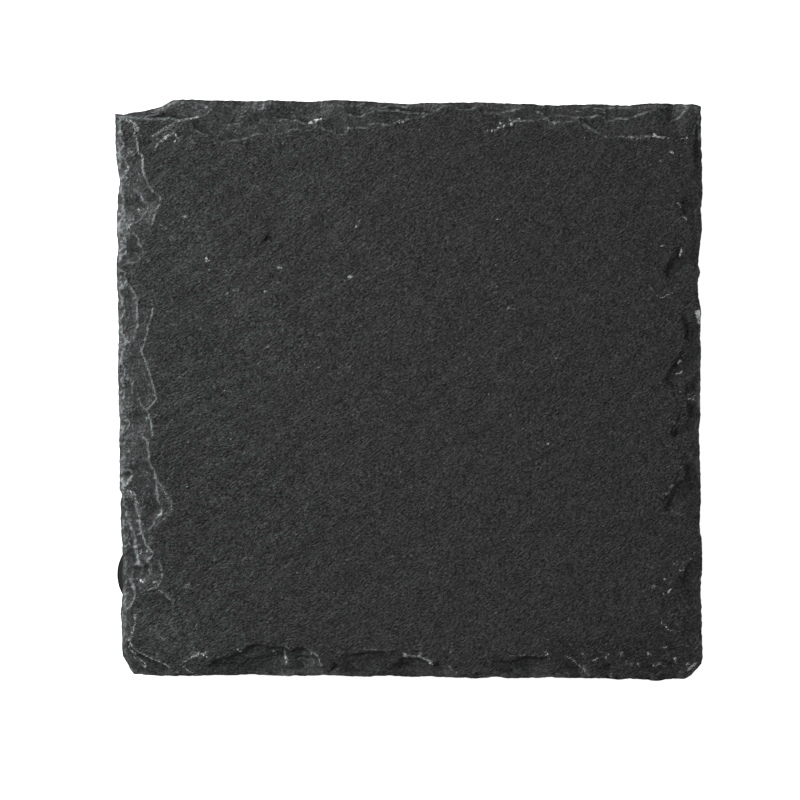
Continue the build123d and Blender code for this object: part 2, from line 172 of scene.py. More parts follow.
# Marks on the top: how pale (dark when negative), how wide, and the line that each follows
# The dark marks are mostly painted shade in creases, chips and a pit; a few pale ones, such as the wedge on
# the left, are painted light on facets that face the key.
MARKS = [
    (0.85, 0.24, [(-16.2, 45.7), (-15, 46)]), (0.8, 0.25, [(-17.2, 45.3), (-16.4, 45.1)]),
    (0.7, 0.22, [(-21.2, -43.6), (-20.4, -44)]),
    (0.7, 0.22, [(-47.6, -42.4), (-47.1, -43.4), (-46, -44.4), (-43.4, -45.6), (-40.6, -47.1)]),
    (0.7, 0.2, [(-47.5, -43.6), (-46.2, -45.2), (-44.9, -46.3), (-44.7, -47)]),
    (0.55, 0.28, [(-38.3, -46.1), (-36, -45.1), (-34, -44.6)]),
    (0.55, 0.25, [(-38.3, -47.2), (-35.8, -48.5)]),
    (0.55, 0.28, [(-17.6, -43.6), (-15.8, -44.9), (-14.7, -46.9)]),
    (0.5, 0.3, [(-7.6, -43.9), (-4, -44.4), (-0.8, -45)]),
    (0.7, 0.35, [(-0.8, -45), (1.4, -45), (2.4, -45.6), (4, -46.6)]),
    (0.5, 0.25, [(4.3, -45.8), (8, -48.2)]), (0.5, 0.22, [(17, -45.2), (20, -44.9), (23.2, -45.2)]),
    (0.75, 0.25, [(26.8, -45.4), (29, -46.8), (30.7, -48.7)]),
    (0.65, 0.2, [(43, -39.7), (44.2, -40.9), (45.4, -41.4)]),
    (0.5, 0.18, [(43.8, -40.1), (44.6, -39.4), (45.6, -39.8)]), (0.65, 0.3, [(47.1, -1.4), (48.9, -1.9)]),
    (0.6, 0.22, [(41.3, 17.1), (41.8, 16), (43.1, 15.6), (44.6, 16.3)]),
    (0.45, 0.25, [(42.8, -21), (45, -20.6), (46.8, -21.2)]), (0.9, 0.35, [(46.2, 24), (46, 22.8)]),
    (1, 0.5, [(49, 13.2), (49.3, 11.6)]), (0.9, 0.35, [(45.7, 4.6), (46.1, 4.9)]),
    (0.8, 0.3, [(46.4, 3), (45.4, 2.8)]), (0.7, 0.25, [(45.7, 31.6), (46.2, 31)]),
    (0.7, 0.25, [(46.4, 29.4), (47, 28.8)]), (0.8, 0.3, [(14.7, 28.6), (15, 28.8)]),
    (1, 0.45, [(-22.2, 20.6), (-21.7, 20.8)]), (0.8, 0.45, [(47.6, -47.7), (48.9, -46.4)]),
    (0.6, 0.25, [(-42.6, -33.9), (-40.9, -35.2), (-38, -38.4), (-36.2, -40.1)]),
    (0.5, 0.25, [(-44.6, -13.8), (-42.9, -15.1), (-41.2, -17.6), (-40.3, -19.2), (-40.1, -20.6)]),
    (0.32, 1.1, [(-42.3, -16.6), (-41.3, -18.8), (-41.4, -20.6), (-42.6, -22.2)]),
    (0.25, 0.9, [(-43.2, -28.9), (-42.4, -31), (-43, -32.8)]),
    (0.2, 2.2, [(-38.6, 47.6), (-34.6, 47.9)]), (0.25, 1.2, [(-47.6, 40.6), (-46.6, 36.5), (-45.4, 32.4)]),
    (0.56, 0.3, [(-21.2, -44.2), (-20.8, -45.6), (-20.6, -46.8)]),
    (0.3, 0.8, [(-19.6, -44.2), (-18, -45.6), (-16, -46.8)]),
    (0.27, 4.5, [(-44, -38.4), (-41, -42.4), (-37, -42.8)]),
    (0.15, 2, [(-26, -45.6), (-16.5, -45.8)]),
    (0.17, 0.6, [(-44.6, -38.8), (-43.4, -41.4), (-41, -42.6)]),
    (0.15, 0.8, [(-39.8, -40.8), (-38.6, -43.2), (-36.4, -44.4)]),
    (0.14, 5, [(-34.5, 21), (-31, 17.5)]), (0.1, 6, [(-26, 19), (-25.5, 8)]),
    (0.22, 2.2, [(-47.4, 19.4), (-47.2, 17)]), (0.22, 2.2, [(-44.6, 5.8), (-44.2, 4.2)]),
    (0.15, 2.2, [(-44.2, 16), (-44.4, 13.8)]), (0.17, 2, [(-43.2, 29.8), (-42, 32)]),
    (-0.22, 1.8, [(-47.6, 10.2), (-47.8, 8.2)]), (-0.13, 3, [(43, -34), (46.5, -34)]),
    (0.25, 2.2, [(-44.4, -4.2), (-44.2, -10.4)]), (0.22, 2.2, [(-47.6, -15.6), (-46.8, -18)]),
    (0.32, 2.2, [(-44.2, -25.2), (-45, -26.6), (-44.4, -28.4)]),
    (0.15, 2.2, [(-46.8, -36.8), (-46.2, -40.2)]), (0.33, 1.8, [(-47.8, 45.6), (-46.8, 44.2)]),
    (0.3, 1.2, [(23, 45.2), (25.2, 45.2)]), (0.3, 1.2, [(30.6, 44.4), (33.2, 43.4)]),
    (-0.35, 2.2, [(-47.6, -31.6), (-47.4, -34.6)]), (-0.25, 2.2, [(-47.4, -23), (-47.2, -27)]),
    (-0.3, 2.2, [(-47.8, -12), (-47.4, -13.6)]), (-0.25, 2.4, [(-46.8, -1), (-46.8, -3.4)]),
    (-0.25, 1.8, [(-29.6, 46.6), (-27, 46.2)]), (-0.25, 1.6, [(-4.2, 47.4), (3.2, 47.4)]),
    (-0.25, 1.6, [(48.6, 45.6), (48.4, 43.8)]), (-1, 0.55, [(-24.2, 25.5), (-24, 25.8)]),
    (-0.45, 0.22, [(46.4, -3.2), (45.6, -5.2), (44.5, -7.4)]),
    (-0.4, 0.22, [(46.9, -10.8), (45.2, -15.2), (43.1, -19.7)]), (-0.35, 0.6, [(47.5, -2.3), (47.8, -4.5)]),
    (-0.3, 0.7, [(47.1, -12.8), (47.3, -15.2)]), (-0.4, 0.35, [(45.2, -45.2), (43.8, -46.9)]),
    (-0.3, 0.3, [(45.5, 23.8), (43.8, 20.9)]), (-0.2, 0.9, [(46.4, 12.7), (47.2, 10.6), (47.9, 8.5)]),
    (-0.3, 0.3, [(47.5, 8.4), (46, 6), (44.2, 3.2)]), (-0.35, 0.6, [(48.8, 42), (48.8, 38)]),
    (-0.4, 0.4, [(46.3, 30.8), (46.6, 30)]), (-0.4, 0.9, [(-47.2, 46.7), (-44, 46.9), (-42, 46.8)]),
    (-0.3, 0.45, [(-42, 46.7), (-38.4, 46.2)]), (-0.13, 4, [(25, -45), (45, -44.5)]),
    (-0.28, 1.8, [(-44.2, -19.8), (-44.8, -23.2)]),
    (0.6, 0.25, [(-46.6, 43.4), (-45.9, 41.6), (-46, 40.3), (-45.2, 39.4), (-45.1, 37)]),
    (0.34, 0.6, [(-47.8, 45.7), (-46.4, 45.2), (-46.2, 44.2)]),
    (0.5, 0.22, [(-48.9, 44.4), (-48.4, 42.5), (-48.5, 40.8)]),
    (0.15, 1.1, [(-42.4, 41.4), (-40.6, 43.2), (-38.4, 44.6)]),
    (0.5, 0.3, [(-43.9, 42.9), (-41.2, 44.5), (-39, 45.6), (-35.7, 46.5)]),
    (0.52, 0.3, [(-42.8, 41.2), (-41.2, 43.2), (-39.8, 43.6), (-39, 42.3)]),
    (0.6, 0.22, [(-15.3, 9.2), (-14.5, 9.9)]), (0.5, 0.2, [(-13.2, 3.5), (-11.6, 3.7), (-9.7, 3.6)]),
    (0.6, 0.22, [(-31, 16.3), (-29.4, 17.1)]), (0.55, 0.2, [(-25.1, 6.7), (-23.3, 7.7)]),
    (0.6, 0.22, [(-33.5, 20.3), (-33.9, 18.9)]), (0.5, 0.2, [(-27.2, -3.1), (-25.7, -2.7), (-24, -2.6)]),
    (0.46, 0.32, [(-48.9, -20.4), (-47.7, -21.7), (-47.3, -24.4), (-46.5, -26.2), (-46.3, -28.5),
        (-45, -30.6)]),
    (0.48, 0.32, [(-48.2, -31.2), (-46.8, -33.6), (-46.5, -35.3), (-47.7, -37.3)]),
    (0.5, 0.28, [(-46.5, -38.3), (-46.6, -40.7), (-47.5, -42.4)]),
    (0.5, 0.32, [(-49, -16.8), (-46.5, -18), (-45.8, -20.4), (-45.6, -23.1)]),
    (0.5, 0.32, [(-47.7, -12.9), (-47, -14.6), (-48.3, -16.3)]),
    (0.1, 1.6, [(-42.8, -43), (-41.6, -42.4)]), (0.14, 1.5, [(-39.8, -39.8), (-38.8, -41.2)]),
    (0.2, 1.3, [(-43.6, -25.2), (-43.9, -26.9)]), (0.16, 2, [(-47.2, 6.8), (-47.2, 5.2)]),
    (0.14, 2, [(-47, 1.8), (-47.2, 0.4)]), (0.15, 1.6, [(-30.6, 47.6), (-31.4, 46.6)]),
    (0.62, 0.24, [(36, 43), (38.6, 42.6), (41, 42.9), (44.6, 42.7)]),
    (0.15, 1.5, [(-38, -48.4), (-10, -48.5), (47, -48.8)]),
    (0.12, 1.5, [(49.4, -44), (49.4, 47)]),
]
# Small pale bruises, where grit has crushed the surface
BRUISES = [
    (-41.2, 27.6), (-38.2, 29), (-47.4, 27.5), (-45.5, 31), (-45.3, -27.4), (-44, -27.7),
    (-45.6, -32.7), (-43.2, -33.4), (-42.2, -34.8), (-37.7, -33), (-29, -44.1), (-36, -45.1),
    (-34.2, -45.2), (-23, -44.8), (-15.9, -44.9), (-0.3, -45.2), (0.4, -45.4), (2.1, -44.8), (4, -46.5),
    (7.2, -44.7), (23.4, -45), (36, -45), (43.6, -44), (42.1, -46.8), (43, 24.3), (46.7, 5.5),
    (45.2, -5.4), (44.8, -16.2), (43.6, -17.7), (46.6, -29.4), (46.2, -30.3), (42.4, 38.6), (44.2, 39.9),
    (38.4, 42.5), (39.8, 42.6), (-4.4, 44.8), (-1.4, 45.7), (1.7, 45), (15.6, 44.7), (16.2, 45),
    (17.2, 45.3), (18.5, 45.8), (24.8, 45.3), (26, 45.7), (30.5, 44.3), (-41.6, 42.2), (-39.2, 42.9),
    (-8.6, 28), (-6.8, 18.3), (-39.4, 24.6), (-40.2, 25.8), (-37.9, 26.6), (29.4, -45.1), (31.6, -45.6),
    (33.9, -45.7), (37.4, -46.3), (38.8, -46.9), (40.8, -44.9), (44.1, -45.1), (45.4, -45.8), (47.4, -46.7),
    (41.3, -33.1), (43.3, -32.4), (43.5, -34.3), (45.6, -29.6), (46.8, -30.5), (34.6, -11.6), (46, -12.6),
    (37.4, 42.8), (41.8, 42.8), (43.3, 42.7), (46, 42.2), (46.8, 41.9), (13.6, 43.9), (14.6, 44.4),
    (-14.6, 21.9), (-9.7, 19.1), (-20.2, 9.3), (-15.6, 3.9), (-23.7, 16.8), (-30.7, 0), (-34.5, 22.2),
    (-18.6, 18.2), (14.6, 11.9), (23.7, -8.9), (19.8, -6.4), (24.7, 6), (16.9, 13.9), (10, 6),
    (15.3, 0.8),
]


# ---------------- noise


def smooth(t):
    """0 to 1 with level ends, for t from 0 to 1."""
    t = np.clip(t, 0, 1)
    return t * t * (3 - 2 * t)


def noise(x, y, seed):
    """Gradient noise of about -1 to 1, one feature per unit of x and y."""
    angles = np.random.default_rng(seed).uniform(0, 2 * math.pi, (256, 256))
    column, row = np.floor(x).astype(int), np.floor(y).astype(int)
    fx, fy = x - column, y - row
    wx, wy = smooth(fx), smooth(fy)

    def corner(dx, dy):
        angle = angles[(row + dy) & 255, (column + dx) & 255]
        return np.cos(angle) * (fx - dx) + np.sin(angle) * (fy - dy)

    low = corner(0, 0) * (1 - wx) + corner(1, 0) * wx
    high = corner(0, 1) * (1 - wx) + corner(1, 1) * wx
    return 1.5 * (low * (1 - wy) + high * wy)


def fractal(x, y, seed, octaves=4, gain=0.5):
    """Noise at several sizes, each half of the one before."""
    total = np.zeros(np.broadcast(x, y).shape)
    for octave in range(octaves):
        size = 2**octave
        total += gain**octave * noise(x * size + 17.3 * octave, y * size - 9.1 * octave, seed + octave)
    return total


def turned(x, y, degrees):
    """Coordinates along and across a direction."""
    cos, sin = math.cos(math.radians(degrees)), math.sin(math.radians(degrees))
    return x * cos + y * sin, y * cos - x * sin


# ---------------- outline


def slab_outline():
    """The slab's outline from the CAD node's underside, in order round the middle."""
    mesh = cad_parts["slate_slab"].data
    points = np.array([vertex.co for vertex in mesh.vertices]) / MM
    points = points[points[:, 2] < SLAB_LOW[2] + 0.01][:, :2]
    points = np.unique(points.round(3), axis=0)
    return points[np.argsort(np.arctan2(points[:, 1], points[:, 0]))]


def outline_sides(outline, columns, rows):
    """The outline as four chains of points, front and rear left to right, left and right upward."""

    def corner(x_sign, y_sign):
        return int(np.argmax(outline[:, 0] * x_sign + outline[:, 1] * y_sign))

    def chain(start, end, axis, count):
        around = np.roll(outline, -start, axis=0)[: (end - start) % len(outline) + 1]
        if around[0, axis] > around[-1, axis]:
            around = around[::-1]
        place = np.linspace(around[0, axis], around[-1, axis], count)
        other = np.interp(place, around[:, axis], around[:, 1 - axis])
        return np.stack([place, other] if axis == 0 else [other, place], axis=1)

    front_left, front_right = corner(-1, -1), corner(1, -1)
    rear_left, rear_right = corner(-1, 1), corner(1, 1)
    return (
        chain(front_left, front_right, 0, columns + 1),
        chain(rear_right, rear_left, 0, columns + 1),
        chain(rear_left, front_left, 1, rows + 1),
        chain(front_right, rear_right, 1, rows + 1),
    )


def nibble(place, seed):
    """How far small bites go into an edge, for places along it."""
    wide = np.abs(fractal(place / 2.3, place * 0 + 0.5, seed, 3))
    narrow = np.clip(noise(place / 0.8, place * 0 + 0.5, seed + 9), 0, 1)
    return 0.16 * wide + 0.16 * narrow**2


def with_bites(front, rear, left, right):
    """The four sides with small bites that leave the corners where they are."""

    def bitten(chain, axis, inward, seed):
        place = chain[:, axis]
        ends = smooth(np.minimum(place - place[0], place[-1] - place) / 1.5)
        moved = chain.copy()
        moved[:, 1 - axis] += inward * nibble(place, seed) * ends
        return moved

    return bitten(front, 0, 1, 11), bitten(rear, 0, -1, 21), bitten(left, 1, 1, 31), bitten(right, 1, -1, 41)


def filled(front, rear, left, right):
    """The lattice between four sides, as arrays x and y of rows by columns."""
    u = np.linspace(0, 1, len(front))[None, :, None]
    v = np.linspace(0, 1, len(left))[:, None, None]
    across = (1 - v) * front[None] + v * rear[None]
    up = (1 - u) * left[:, None] + u * right[:, None]
    corners = (1 - v) * ((1 - u) * front[0] + u * front[-1]) + v * ((1 - u) * rear[0] + u * rear[-1])
    lattice = across + up - corners
    return lattice[..., 0], lattice[..., 1]


# ---------------- relief of the top


def segment_distance(x, y, start, end):
    """Distance from each point to one straight piece of a line."""
    dx, dy = end[0] - start[0], end[1] - start[1]
    share = np.clip(((x - start[0]) * dx + (y - start[1]) * dy) / (dx * dx + dy * dy), 0, 1)
    return np.hypot(x - start[0] - share * dx, y - start[1] - share * dy)


def within(x, y, polygon):
    """Whether each point is inside a polygon."""
    inside = np.zeros(x.shape, bool)
    for (x0, y0), (x1, y1) in zip(polygon, polygon[1:] + polygon[:1]):
        if y0 != y1:
            inside ^= ((y0 > y) != (y1 > y)) & (x < x0 + (y - y0) * (x1 - x0) / (y1 - y0))
    return inside


def break_drop(x, y, heading, drop, width, line):
    """How far one break lowers the stone: a riser along its line, then a gently falling terrace.
    It widens toward the slab's edge, and fades out beyond the line's two ends."""
    far, widening = 25, 1.1
    first, last = np.array(line[0]), np.array(line[-1])
    span = math.dist(first, last)
    spread = widening * ((first - last) / span)
    away = np.array([math.cos(math.radians(heading)), math.sin(math.radians(heading))])
    first_far, last_far = first + far * (away + spread), last + far * (away - spread)
    inside = within(x, y, [*line, last_far, first_far])
    lowered = np.zeros(x.shape)
    if not inside.any():
        return lowered
    x, y = x[inside], y[inside]
    distance = line_distance(x, y, line)
    to_first = segment_distance(x, y, first, first_far)
    to_last = segment_distance(x, y, last, last_far)
    riser = 0.5 * (1 - (1 - np.clip(distance / width, 0, 1)) ** 1.6)
    slope = 0.5 * np.clip(distance / (3.5 * width), 0, 1)
    fade = smooth(np.minimum(to_first, to_last) / min(4, 0.5 * span + 0.3))
    lowered[inside] = (drop * (riser + slope) + 0.05 * np.minimum(distance, 6)) * fade
    return lowered


def line_distance(x, y, line):
    """Distance from each point to a line of straight pieces."""
    return np.minimum.reduce([segment_distance(x, y, *ends) for ends in zip(line, line[1:])])


def all_breaks():
    """Every break as heading, drop, width and line. The left edge is dressed the most steeply."""
    breaks = list(CORNER_BREAKS)
    sides = [
        (180, 1, 1, LEFT_BREAKS),
        (90, 0.85, 0.5, REAR_BREAKS),
        (270, 0.62, 0.35, FRONT_BREAKS),
        (0, 0.55, 0.4, RIGHT_BREAKS),
    ]
    for heading, deeper, wider, listed in sides:
        breaks += [(heading, deeper * drop, wider * width, line) for drop, width, line in listed]
    return breaks


def flake_drop(x, y, flake):
    """How far one small flake scar lies below the face: steep at the edge, feathering inward."""
    start_x, start_y, heading, half_length, reach, edge_drop, lean = flake
    overhang = 0.45 * reach
    inward, along = turned(x - start_x, y - start_y, heading)
    inward, along = turned(inward + overhang, along, lean)
    at_edge = overhang / (overhang + reach)
    length = half_length / math.sqrt(1 - at_edge**2)
    inside = np.clip(1 - np.hypot(inward / (overhang + reach), along / length), 0, 1)
    return edge_drop * (inside / (1 - at_edge)) ** 1.15


def small_flakes():
    """Small flake scars all along the four edges."""
    sides = [
        (lambda place: (-49.6, place), 0, 0.6),
        (lambda place: (place, 49), -90, 0.12),
        (lambda place: (place, -48.9), 90, 0.4),
        (lambda place: (49.7, place), 180, 0.5),
    ]
    flakes = []
    dice = np.random.default_rng(7)
    for place_at, heading, depth in sides:
        for place in np.arange(-47, 47, 1.8):
            half_length = dice.uniform(0.7, 2.2)
            reach = half_length * dice.uniform(0.4, 0.85)
            drop = depth * dice.uniform(0.8, 2)
            lean = dice.uniform(-30, 30)
            place = place + dice.uniform(-1, 1)
            flakes.append((*place_at(place), heading, half_length, reach, drop, lean))
    return flakes


def edge_distance(x, y, sides):
    """Distance from the nearest side, measured straight across it."""
    front, rear, left, right = (side.T for side in sides)
    across = np.minimum(x - np.interp(y, left[1], left[0]), np.interp(y, right[1], right[0]) - x)
    return np.minimum(across, np.minimum(y - np.interp(x, *front), np.interp(x, *rear) - y))


def worn_edge(x, y, sides):
    """The drop of the crumbled arris right at the edge."""
    distance = edge_distance(x, y, sides)
    width = 0.7 + 0.6 * fractal(x / 4, y / 4, 51, 3)
    depth = (0.7 + 0.7 * fractal(x / 3, y / 3, 55, 3)) * (0.35 + 0.35 * smooth((-36 - x) / 8))
    return depth * np.clip(1 - distance / np.maximum(width, 0.3), 0, 1) ** 1.3


def terraced(drop, x, y):
    """Thin steps down along the slate's cleavage, here and there."""
    step = 0.22
    level = drop / step + 1.2 * fractal(x / 2.5, y / 2.5, 61, 3)
    part = level - np.floor(level)
    stepped = np.floor(level) + smooth((part - 0.5) * 3 + 0.5)
    strength = 0.35 * smooth(0.5 + 1.2 * fractal(x / 5, y / 5, 65, 2)) * smooth(drop / 0.4)
    return drop + step * strength * (stepped - level)


def face_relief(x, y):
    """The split face: long swells, low ridges along the grain, and thin steps of cleavage."""
    along, across = turned(x, y, 38)
    swell = 0.1 * fractal(x / 34, y / 34, 71, 2)
    ridges = 0.025 * fractal(along / 9, across / 2.2, 75, 4, 0.6) * (1 + smooth((-5 - x) / 30))
    sheet = fractal(along / 22, across / 10, 81, 4)
    steps = 0.04 * (smooth((sheet - 0.15) / 0.05) + smooth((sheet + 0.35) / 0.05))
    return swell + ridges + steps


def top_relief(x, y, sides):
    """Height of the top below the slab's highest point, and the drop of the breaks alone."""
    ragged_x = x + 0.1 * fractal(x / 4, y / 4, 91, 2) + 0.16 * fractal(x / 1.3, y / 1.3, 93, 3)
    ragged_y = y + 0.1 * fractal(x / 4, y / 4, 97, 2) + 0.16 * fractal(x / 1.3, y / 1.3, 99, 3)
    drop = worn_edge(ragged_x, ragged_y, sides)
    for flake in small_flakes():
        drop = np.maximum(drop, flake_drop(ragged_x, ragged_y, flake))
    for one in all_breaks():
        drop = drop + break_drop(ragged_x, ragged_y, *one)
    drop = np.maximum(terraced(drop, x, y), 0)
    eased, rest = 3.2, 1.4
    drop = np.minimum(drop, eased + rest * (1 - np.exp(-np.maximum(drop - eased, 0) / rest)))
    broken = smooth(drop / 0.15)
    rough = 0.04 * fractal(x / 1.4, y / 1.4, 101, 4, 0.6) * broken
    height = face_relief(x, y) * (1 - 0.6 * broken) - drop + rough
    for heading, depth, width, run, line in FACE_STEPS:
        step = break_drop(ragged_x, ragged_y, heading, 2 * depth, width, line)
        near = smooth(1 - line_distance(ragged_x, ragged_y, line) / run)
        height = height - np.minimum(step, depth) * near
    return height - height.max(), drop


def marked(x, y):
    """How pale (or dark, when negative) the marks leave each point."""
    wavy_x = x + 0.25 * noise(x / 2.2, y / 2.2, 161) + 0.15 * noise(x / 0.7, y / 0.7, 162)
    wavy_y = y + 0.25 * noise(x / 2.2, y / 2.2, 165) + 0.15 * noise(x / 0.7, y / 0.7, 166)
    value = np.zeros(x.shape)
    for strength, width, line in MARKS:
        share = smooth(1.5 * (1 - line_distance(wavy_x, wavy_y, line) / width))
        value = value + strength * share * (1 - np.abs(value))
    dice = np.random.default_rng(17)
    for at in BRUISES:
        for _ in range(dice.integers(1, 4)):
            crumb_x, crumb_y = at + dice.normal(0, 0.35, 2)
            heading, size, strength = dice.uniform((0, 0.22, 0.5), (180, 0.36, 0.88))
            along, across = turned(x - crumb_x, y - crumb_y, heading)
            share = smooth(1.5 * (1 - np.hypot(along / (1.5 * size), across / size)))
            value = np.where(share > 0, np.maximum(value, strength * share), value)
    return value


def arris_highlight_share(x, y):
    """How readily the top's ridges are painted pale, as a painted highlight: most on the left, then the
    rear, which face the key light.
    """
    left = smooth((-37 - x) / 6) * (0.4 + 0.6 * smooth((y + 44) / 8))
    rear = smooth((y - 40) / 4)
    front = smooth((-40 - y) / 4)
    return np.clip(0.3 + 0.7 * left + 0.5 * rear + 0.2 * front, 0, 1)


# ---------------- slab mesh


def blurred(values):
    """The average of three by three points of a lattice, round each point."""
    padded = np.pad(values, 1, mode="edge")
    rows = padded[:-2] + padded[1:-1] + padded[2:]
    return (rows[:, :-2] + rows[:, 1:-1] + rows[:, 2:]) / 9


def lattice_faces(columns, rows, block, is_fine, index):
    """Faces of a lattice in blocks of cells. A coarse block is one face, and keeps every point that
    it shares with a fine block or with the lattice's border."""
    faces = []

    def split(i, j):
        return not (0 <= i < columns and 0 <= j < rows) or is_fine(i, j)

    for j in range(0, rows, block):
        for i in range(0, columns, block):
            if split(i, j):
                for n in range(j, j + block):
                    for m in range(i, i + block):
                        faces.append([index(m, n), index(m + 1, n), index(m + 1, n + 1), index(m, n + 1)])
                continue
            face = []
            edges = [
                (i, j, 1, 0, split(i, j - block)),
                (i + block, j, 0, 1, split(i + block, j)),
                (i + block, j + block, -1, 0, split(i, j + block)),
                (i, j + block, 0, -1, split(i - block, j)),
            ]
            for m, n, step_m, step_n, keep in edges:
                points = range(block) if keep else range(1)
                face += [index(m + step_m * k, n + step_n * k) for k in points]
            faces.append(face)
    return faces


def border(columns, rows):
    """The lattice's border points, anticlockwise from the front left corner."""
    return (
        [(m, 0) for m in range(columns)]
        + [(columns, n) for n in range(rows)]
        + [(m, rows) for m in range(columns, 0, -1)]
        + [(0, n) for n in range(rows, 0, -1)]
    )


def wall_inset(place, height):
    """How far the broken side lies behind the outline: split layers, flakes and a worn lower arris."""
    layer = height / 0.62 + 0.35 * noise(place / 9, height * 0, 111)
    index = np.floor(layer)
    part = layer - index

    def set_back(which):
        return 0.5 + 0.5 * fractal(place / 5.5 + 31.7 * which, which * 3.7, 115, 3)

    layers = set_back(index) * (1 - smooth(part * 4 - 3)) + set_back(index + 1) * smooth(part * 4 - 3)
    flakes = np.clip(fractal(place / 4.2, height / 1.7, 121, 3), 0, 1)
    grain = fractal(place / 0.9, height / 0.28, 125, 3, 0.6)
    worn = (0.35 + 0.3 * noise(place / 2.5, place * 0, 131)) * np.clip(1 - height / 0.5, 0, 1) ** 2
    return np.maximum(0.32 * layers + 0.45 * flakes + 0.05 * grain + worn, 0)


def closed_loop_normals(points):
    """Unit normals of a closed loop of points, pointing out, smoothed along the loop."""
    reach = 6
    tangent = np.roll(points, -reach, axis=0) - np.roll(points, reach, axis=0)
    tangent /= np.linalg.norm(tangent, axis=1, keepdims=True)
    return np.stack([tangent[:, 1], -tangent[:, 0]], axis=1)


def top_surface(x, y, sides):
    """Height of each point of the top, and the numbers that its material reads: how sharp its ridge
    is (negative in creases and along the rim, where it paints shade), how freshly broken it is, how
    readily its ridges are painted pale as a highlight toward the key light, and its marks."""
    relief, drop = top_relief(x, y, sides)
    rim_width, rim_painted_shade, sharpest = 0.45, 0.9, 0.045
    rim = np.clip(1 - edge_distance(x, y, sides) / rim_width, 0, 1)
    ridge = np.clip((relief - blurred(relief)) / sharpest, -1, 1)
    values = {
        # ridge goes negative along the rim: painted shade where the top turns down, weaker on the left
        # toward the key light
        "ridge": ridge * (1 - rim) - rim_painted_shade * rim * (1 - 0.6 * smooth((-40 - x) / 6)),
        "broken": smooth((drop - 0.15) / 0.35),
        # pale weights the painted highlight on ridges toward the key light
        "pale": arris_highlight_share(x, y),
        "mark": marked(x, y),
    }
    return SLAB_HIGH[2] + relief, {name: value.ravel() for name, value in values.items()}


def wall_rings(rim):
    """Rings of points down the side from the top's border, and how far each point is set back."""
    outward = closed_loop_normals(rim[:, :2])
    place = np.concatenate([[0], np.cumsum(np.linalg.norm(np.diff(rim[:, :2], axis=0), axis=1))])
    for level in range(1, WALL_LEVELS + 1):
        share = (level / WALL_LEVELS) ** 1.1
        height = (rim[:, 2] - SLAB_LOW[2]) * (1 - share)
        inset = wall_inset(place, height) * smooth(share / 0.12)
        yield np.column_stack([rim[:, :2] - outward * inset[:, None], SLAB_LOW[2] + height]), inset


def underside(columns, rows, loop, ring, ring_points, first):
    """Points inside the underside, numbered from first, and its faces. It is in coarse blocks that
    share the side's last ring, whose point numbers and places are given round the loop."""
    step = UNDERSIDE_BLOCK
    number, flat = dict(zip(loop, ring)), dict(zip(loop, ring_points[:, :2]))

    def side(places):
        return np.array([flat[place] for place in places])

    across, up = range(0, columns + 1, step), range(0, rows + 1, step)
    x, y = filled(
        side([(m, 0) for m in across]),
        side([(m, rows) for m in across]),
        side([(0, n) for n in up]),
        side([(columns, n) for n in up]),
    )
    hollow = 0.06 * np.clip(fractal(x / 12, y / 12, 141, 3), 0, 1)
    points = []
    for n in range(1, rows // step):
        for m in range(1, columns // step):
            number[(m * step, n * step)] = first + len(points)
            points.append((x[n, m], y[n, m], SLAB_LOW[2] + hollow[n, m]))
    faces = lattice_faces(columns, rows, step, lambda m, n: False, lambda m, n: number[(m, n)])
    return np.array(points), [face[::-1] for face in faces]


def slab_geometry():
    """Points, faces, and for each point the numbers that the slate's material reads."""
    size = SLAB_HIGH - SLAB_LOW
    columns, rows = (int(side / CELL) // UNDERSIDE_BLOCK * UNDERSIDE_BLOCK for side in size[:2])
    band = int(FINE_BAND / CELL)
    plain_sides = outline_sides(slab_outline(), columns, rows)
    x, y = filled(*with_bites(*plain_sides))
    z, values = top_surface(x, y, plain_sides)
    points = [np.column_stack([x.ravel(), y.ravel(), z.ravel()])]
    ridges, breaks = [values["ridge"]], [values["broken"]]

    def top_index(m, n):
        return n * (columns + 1) + m

    def in_band(m, n):
        return min(m, columns - m - 1, n, rows - n - 1) < band

    faces = lattice_faces(columns, rows, FACE_BLOCK, in_band, top_index)
    loop = border(columns, rows)
    ring = [top_index(m, n) for m, n in loop]
    first = len(points[0])
    for ring_points, inset in wall_rings(points[0][ring]):
        points.append(ring_points)
        ridges.append(np.clip(0.12 - inset, 0, 0.12) / 0.5)
        breaks.append(np.ones(len(loop)))
        upper, ring = ring, list(range(first, first + len(loop)))
        faces += map(list, zip(upper, ring, ring[1:] + ring[:1], upper[1:] + upper[:1]))
        first += len(loop)
    under_points, under_faces = underside(columns, rows, loop, ring, ring_points, first)
    points.append(under_points)
    values |= {"ridge": np.concatenate(ridges), "broken": np.concatenate(breaks)}
    return np.concatenate(points), faces + under_faces, values


def linked(name, data):
    """A new object in the scene."""
    made = bpy.data.objects.new(name, data)
    bpy.context.scene.collection.objects.link(made)
    return made


def mesh_object(name, points, faces, sharp_degrees):
    """An object of those points, in millimetres, without the points that no face uses."""
    used = np.unique(np.concatenate([np.array(face) for face in faces]))
    renumber = np.full(len(points), -1)
    renumber[used] = np.arange(len(used))
    mesh = bpy.data.meshes.new(name)
    mesh.from_pydata((points[used] * MM).tolist(), [], [renumber[face].tolist() for face in faces])
    mesh.update()
    mesh.shade_smooth()
    mesh.set_sharp_from_angle(angle=math.radians(sharp_degrees))
    return linked(name, mesh), used


def make_slab():
    """The slab. A number that its last points have no value for is 0 there."""
    points, faces, values = slab_geometry()
    piece, used = mesh_object("split_slate_slab", points, faces, 55)
    for name, value in values.items():
        padded = np.concatenate([value, np.zeros(len(points) - len(value))])
        attribute = piece.data.attributes.new(name, "FLOAT", "POINT")
        attribute.data.foreach_set("value", padded[used].astype(np.float32))
    return piece


# ---------------- feet

FOOT_SEGMENTS = 120


